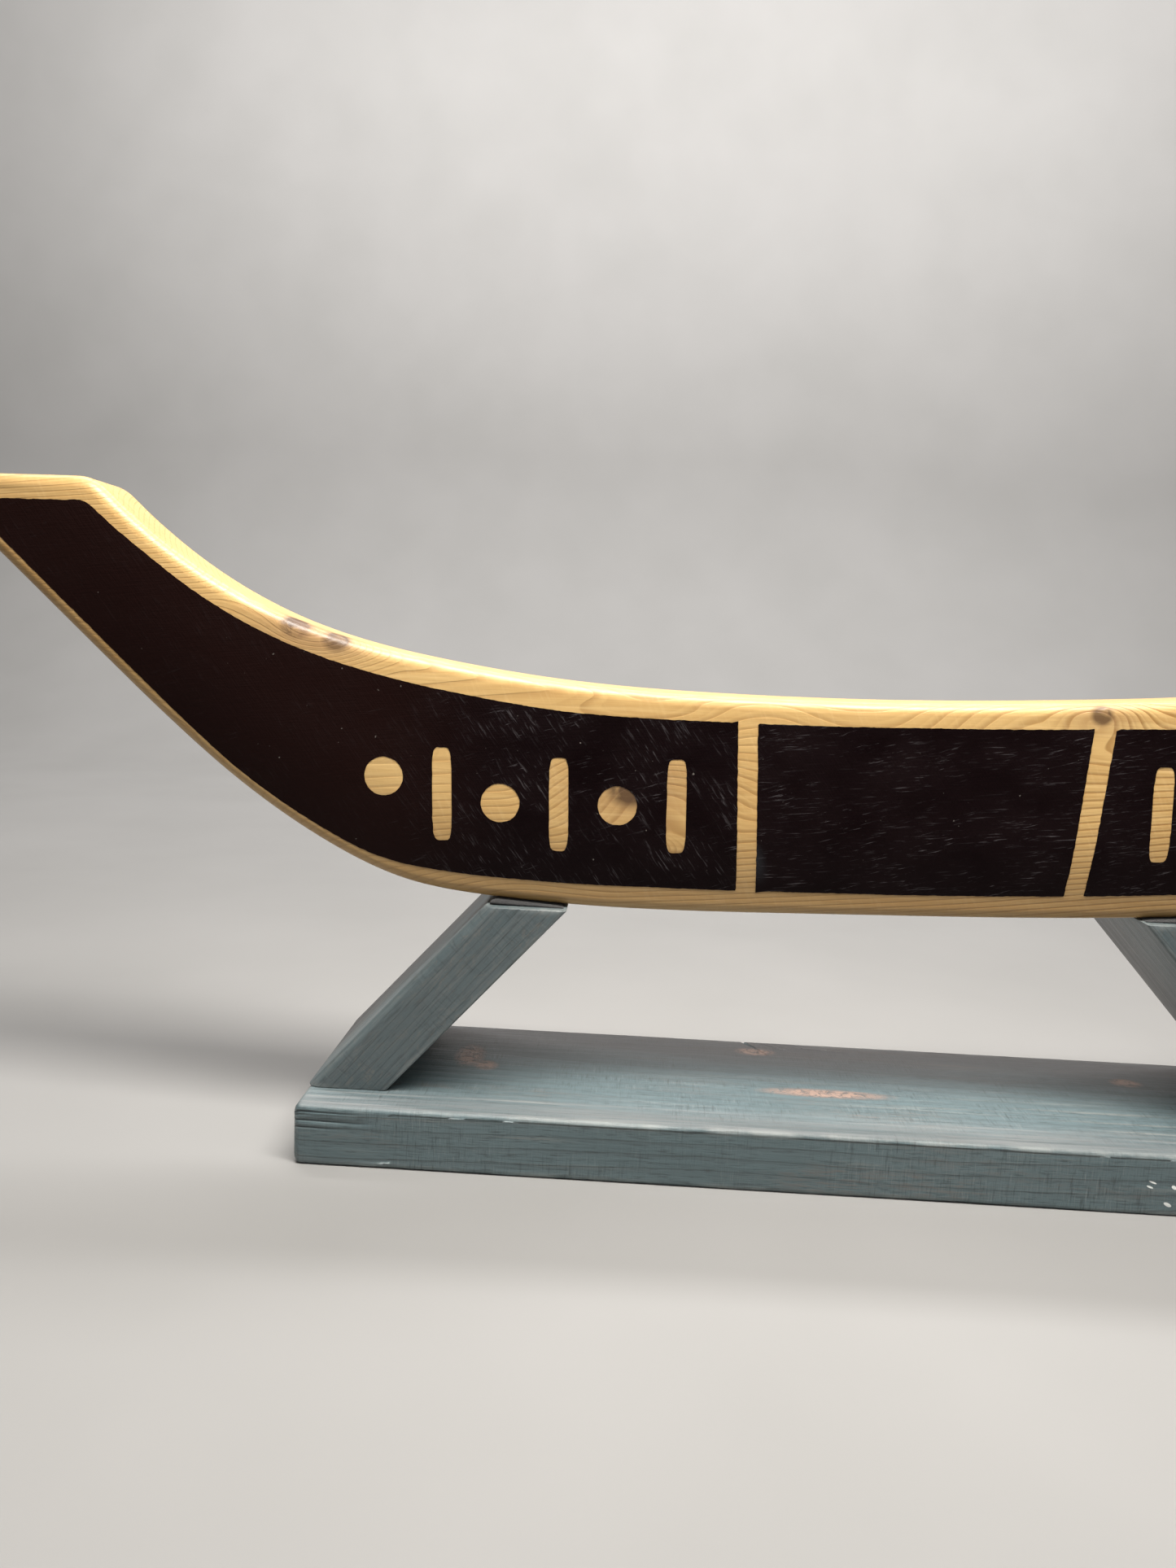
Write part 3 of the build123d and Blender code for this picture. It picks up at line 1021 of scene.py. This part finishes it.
def stained_timber(name, marks=(), flecks=(), turn=(0, 0, 0), seed=0.0, depth=0.0):
    """Blue-grey stain on sawn softwood: rings, saw marks, brown showing through, pale worn edges, painted
    shadow and reflection at the back, and painted shade all over by depth.
    """
    s = Surface(name, turn)
    rings = growth_rings(s, 0.055 + seed * 0.03, -0.07 - seed * 0.02, 0.02, 0.0050, 0.018)
    line = ring_line(s, rings, 0.35)
    patch = s.noise((5, 20, 16))
    streak = s.noise((9, 300, 300), rough=0.6)
    dash = s.noise((75, 850, 850), detail=3.0, rough=0.62)
    across = s.noise((850, 75, 75), detail=3.0, rough=0.62)
    upright_zone = s.span(s.noise((16, 30, 24), detail=3.0), 0.36, 0.60)
    s.ramp(patch, (0.28, (0.078, 0.118, 0.128)), (0.5, (0.098, 0.144, 0.156)), (0.74, (0.120, 0.168, 0.181)))
    pale = s.times(s.span(streak, 0.57, 0.70), s.span(patch, 0.40, 0.60))
    s.over(s.times(pale, 0.60), (0.300, 0.300, 0.275))
    s.over(s.span(dash, 0.32, 0.46, 0.72, 0.0), (0.036, 0.053, 0.057))
    s.over(s.times(line, 0.24 * (1 - depth)), (0.052, 0.060, 0.063))
    saw_dark = s.times(s.span(across, 0.30, 0.44, 1.0, 0.0), upright_zone)
    saw_light = s.times(s.span(across, 0.58, 0.70), upright_zone)
    s.over(s.times(saw_dark, 0.85), (0.030, 0.046, 0.050))
    s.over(s.times(saw_light, 0.42), (0.215, 0.250, 0.252))
    brown = s.times(s.span(s.noise((7, 45, 45), detail=3.0), 0.52, 0.68), s.span(dash, 0.46, 0.62))
    s.over(s.times(brown, 0.40), (0.150, 0.100, 0.076))
    y, z = s.add("ShaderNodeSeparateXYZ", s.place).outputs[1:]
    # Painted shadow and reflection: towards the back, at and above the board's top, the stain is darkened to
    # a reddish brown where the carving shades it.
    rear_painted_shadow = s.times(s.span(y, -0.01, 0.06, smooth=True), s.span(z, BOARD_HIGH.z - 0.001, BOARD_HIGH.z))
    s.over(s.times(rear_painted_shadow, 0.72), (0.072, 0.054, 0.052))
    on_top = s.span(z, BOARD_HIGH.z - 0.001, BOARD_HIGH.z)
    front_part = s.times(s.span(y, BOARD_LOW.y + 0.004, BOARD_LOW.y + 0.040, 1.0, 0.0, smooth=True), on_top)
    pale_grain = s.span(streak, 0.36, 0.62, 0.25, 0.75)
    s.over(s.times(front_part, pale_grain), (0.250, 0.262, 0.268))
    worn = s.span(s.noise((28, 60, 60), detail=5.0, rough=0.62), 0.42, 0.60)
    rubbed = s.times(s.attribute("wear"), worn)
    # Painted shade: depth darkens the whole piece, a shaded copy of the stain.
    s.over(depth, (0.030, 0.038, 0.041))
    if depth:
        scratches = s.noise((95, 240, 240), detail=5.0, rough=0.70, warp=1.2)
        scuffed = s.times(s.span(scratches, 0.52, 0.66), s.span(patch, 0.40, 0.58))
        s.over(s.times(scuffed, 0.60), (0.170, 0.150, 0.128))
    s.over(s.times(rubbed, 0.60 * (1 - depth)), (0.380, 0.395, 0.380))
    crumbly = s.span(s.noise((210, 210, 210), detail=5.0, rough=0.65, warp=0.8), 0.38, 0.54)
    chips = []
    for centre, radii in marks:
        here = s.span(s.near(centre, radii), 0.1, 0.7)
        chip = s.times(here, crumbly)
        s.over(s.times(here, 0.62), (0.115, 0.078, 0.066))
        s.over(s.times(chip, 0.85), (0.350, 0.230, 0.178))
        chips.append(chip)
    for centre, radii, slant in flecks:
        s.over(s.span(s.near(centre, radii, slant), 0.25, 0.45), (0.82, 0.84, 0.82))
    height = s.plus(s.times(streak, 0.8), s.times(dash, 0.7), s.times(across, upright_zone, 0.8))
    height = s.minus(height, s.times(line, 0.5))
    if chips:
        height = s.minus(height, s.times(s.highest(*chips), 1.1))
    normal = s.bump(height, 0.60, 0.0006)
    rough = s.plus(s.span(streak, 0.3, 0.7, 0.34, 0.48), s.times(s.attribute("wear"), 0.18))
    return s.finish(Roughness=rough, Normal=normal, Specular_IOR_Level=0.75)


def gap_shadow_felt():
    # The pads' black fills the gap under the carving, standing in for the shadow there: painted shade.
    s = Surface("gap_shadow_felt")
    matted = s.noise((900, 900, 900), rough=0.7, warp=1.5)
    clumps = s.noise((160, 160, 160), detail=3.0)
    s.ramp(matted, (0.3, (0.006, 0.006, 0.007)), (0.75, (0.028, 0.027, 0.028)))
    height = s.plus(matted, s.times(clumps, 0.8))
    return s.finish(Roughness=s.span(clumps, 0.3, 0.7, 0.86, 0.98),
                    Normal=s.bump(height, 0.9, 0.0008), Sheen_Weight=0.25, Sheen_Roughness=0.5)


def dowel_wood():
    s = Surface("bare_dowel_wood")
    fibre = s.noise((1100, 1100, 30), rough=0.6)
    patch = s.noise((120, 120, 40), detail=3.0)
    s.ramp(patch, (0.3, (0.47, 0.31, 0.16)), (0.7, (0.60, 0.43, 0.25)))
    s.over(s.span(fibre, 0.45, 0.7, 0.0, 0.6), (0.34, 0.20, 0.095))
    return s.finish(Roughness=s.span(fibre, 0.3, 0.7, 0.55, 0.72),
                    Normal=s.bump(fibre, 0.4, 0.0004))


def zinc_steel():
    s = Surface("zinc_screw_steel")
    turned = s.noise((300, 300, 1800), detail=3.0)
    dull = s.noise((420, 420, 420), rough=0.65)
    s.ramp(dull, (0.3, (0.44, 0.41, 0.34)), (0.55, (0.60, 0.58, 0.52)), (0.75, (0.66, 0.62, 0.48)))
    return s.finish(Roughness=s.span(dull, 0.3, 0.7, 0.28, 0.50),
                    Normal=s.bump(turned, 0.3, 0.0002), Metallic=1.0)


def pale_floor():
    s = Surface("pale_studio_floor")
    mottle = s.noise((4, 4, 4), detail=3.0)
    s.ramp(mottle, (0.3, (0.27, 0.266, 0.26)), (0.7, (0.29, 0.285, 0.28)))
    return s.finish(Roughness=0.8)


# ---- assembly ----

BOARD_WEAR_REACH = 0.0042
STRUT_WEAR_REACH = 0.0035


def wear_from(obj, reach, distances):
    """Marks each point by how near it is to an edge, where two of these face distances are small."""
    values = []
    for vertex in obj.data.vertices:
        second = sorted(distances(vertex.co))[1]
        values.append(max(0.0, 1 - second / reach))
    paint_point_value(obj, "wear", values)


def keel_shade_share(p):
    """0 at the middle of the faces and above, 1 at the keel: how much painted shade the faces take there."""
    return max(0.0, 1 - KEEL_TREE.find((p.x, p.z, 0))[2] / KEEL_SHADE_HEIGHT)


def level_distances(p, low, high):
    """How far a point is from the front, back, bottom and top of a box."""
    return p.y - low.y, high.y - p.y, p.z - low.z, high.z - p.z


def board_distances(p):
    return (p.x - BOARD_LOW.x, BOARD_HIGH.x - p.x, *level_distances(p, BOARD_LOW, BOARD_HIGH))


def strut_distances(low, high, side):
    """The function that gives a point's distance from each face of a leaning strut."""
    rise = math.tan(STRUT_LEAN)
    width, outer_foot = strut_measures(low, high, side)

    def distances(p):
        inwards = side * (outer_foot - p.x) - (p.z - low.z) / rise
        square = math.sin(STRUT_LEAN)
        return (inwards * square, (width - inwards) * square, *level_distances(p, low, high))
    return distances


def dress(obj, material, slot, body, *nodes):
    """Gives a piece its material, rides it on its body, and hides the solids it stands for."""
    obj.data.materials.clear()
    obj.data.materials.append(material)
    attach(obj, body)
    if nodes:
        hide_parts(*nodes)
    return obj


def assemble():
    wood, paint = cedar(), black_paint()
    carving = make_carving()
    # Each point of the carving carries how near it is to the keel, for the painted shade there.
    paint_point_value(carving, "low", [keel_shade_share(vertex.co) for vertex in carving.data.vertices])
    dress(carving, wood, "cedar", "boomerang_body", "boomerang")
    for name, outlines in (("painted_left", left_field()), ("painted_middle", middle_block()),
                           ("painted_right", right_field())):
        dress(make_paint(name, outlines), paint, "black_paint", "boomerang_body")
    board = make_board()
    wear_from(board, BOARD_WEAR_REACH, board_distances)
    stain = stained_timber("stained_base", BASE_MARKS, WHITE_FLECKS)
    dress(board, stain, "stained_timber", "stand", "base_board")
    for side, word in ((-1, "left"), (1, "right")):
        strut = make_strut(side, word + "_strut")
        wear_from(strut, STRUT_WEAR_REACH, strut_distances(*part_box(word + "_strut"), side))
        turn = (0, -side * math.degrees(STRUT_LEAN), 0)
        # The struts take a darker copy of the stain as painted shade, by depth.
        timber = stained_timber(word + "_strut_stain_painted_shade", turn=turn, seed=side * 0.7, depth=0.45)
        dress(strut, timber, "stained_timber", "stand", word + "_strut")
        pad = dress(make_pad(side, word + "_pad"), gap_shadow_felt(), "felt", "stand", word + "_pad")
        dress(make_dowel(word + "_dowel"), dowel_wood(), "dowel_wood", "stand", word + "_dowel")
        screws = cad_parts[word + "_screws"]
        screws.data.materials.clear()
        screws.data.materials.append(zinc_steel())


# ---- camera, lights, floor ----

CAMERA_PLACE = Vector((-0.1468, -0.6852, 0.3209))
CAMERA_YAW = -0.037  # radians: to the left, then down, then rolled
CAMERA_PITCH = 0.125
CAMERA_ROLL = -0.042
CAMERA_LENS = 24.24


def make_camera():
    forward = Vector((math.sin(CAMERA_YAW) * math.cos(CAMERA_PITCH),
                      math.cos(CAMERA_YAW) * math.cos(CAMERA_PITCH), -math.sin(CAMERA_PITCH)))
    level = Vector((math.cos(CAMERA_YAW), -math.sin(CAMERA_YAW), 0))
    down = forward.cross(level)
    right = level * math.cos(CAMERA_ROLL) + down * math.sin(CAMERA_ROLL)
    up = level * math.sin(CAMERA_ROLL) - down * math.cos(CAMERA_ROLL)
    data = bpy.data.cameras.new("photo_view")
    data.lens = CAMERA_LENS
    data.clip_start = 0.01
    camera = bpy.data.objects.new("photo_view", data)
    facing = Matrix((right, up, -forward)).transposed().to_4x4()
    camera.matrix_world = Matrix.Translation(CAMERA_PLACE) @ facing
    bpy.context.scene.collection.objects.link(camera)
    bpy.context.scene.camera = camera


def soft_light(name, place, target, size, power, color):
    data = bpy.data.lights.new(name, "AREA")
    data.shape = "RECTANGLE"
    data.size, data.size_y = size
    data.energy = power
    data.color = color
    lamp = bpy.data.objects.new(name, data)
    lamp.location = place
    lamp.rotation_euler = (Vector(target) - Vector(place)).to_track_quat("-Z", "Y").to_euler()
    bpy.context.scene.collection.objects.link(lamp)


def make_sweep():
    """A floor that curves up into a wall behind the object, in one pale sheet."""
    wall_y, wall_top, radius, half_width, front = 2.6, 5.0, 0.9, 9.0, -9.0
    profile = [(front, 0.0), (-1.0, 0.0)]
    for k in range(25):
        a = math.pi / 2 * k / 24
        profile.append((wall_y - radius + radius * math.sin(a), radius - radius * math.cos(a)))
    profile.append((wall_y, wall_top))
    points = [(x, y, z) for y, z in profile for x in (-half_width, half_width)]
    faces = [(2 * i, 2 * i + 1, 2 * i + 3, 2 * i + 2) for i in range(len(profile) - 1)]
    sweep = mesh_object("studio_sweep", points, faces)
    sweep.data.materials.append(pale_floor())


def make_studio():
    """A soft overhead light just in front of the object, weak fill, and a lit sweep behind."""
    make_sweep()
    world = bpy.data.worlds.new("studio_world")
    world.use_nodes = True
    background = world.node_tree.nodes["Background"]
    background.inputs["Color"].default_value = (0.95, 0.93, 0.90, 1)
    background.inputs["Strength"].default_value = 0.15
    bpy.context.scene.world = world
    bpy.context.scene.view_settings.view_transform = "Standard"
    soft_light("overhead", (-0.05, -0.29, 0.95), (-0.03, 0.0, 0.20), (0.9, 0.22), 19, (1.0, 0.965, 0.91))
    soft_light("front_fill", (-1.2, -2.4, 1.0), (0, 0, 0.2), (1.6, 1.2), 3, (1.0, 0.97, 0.94))
    soft_light("side_fill", (2.0, -1.0, 1.2), (0, 0, 0.2), (1.2, 1.2), 4, (0.96, 0.98, 1.0))
    soft_light("sweep_light", (0.0, 1.0, 2.6), (0.0, 2.6, 0.7), (4.0, 0.5), 150, (1.0, 0.98, 0.96))


assemble()
make_camera()
make_studio()
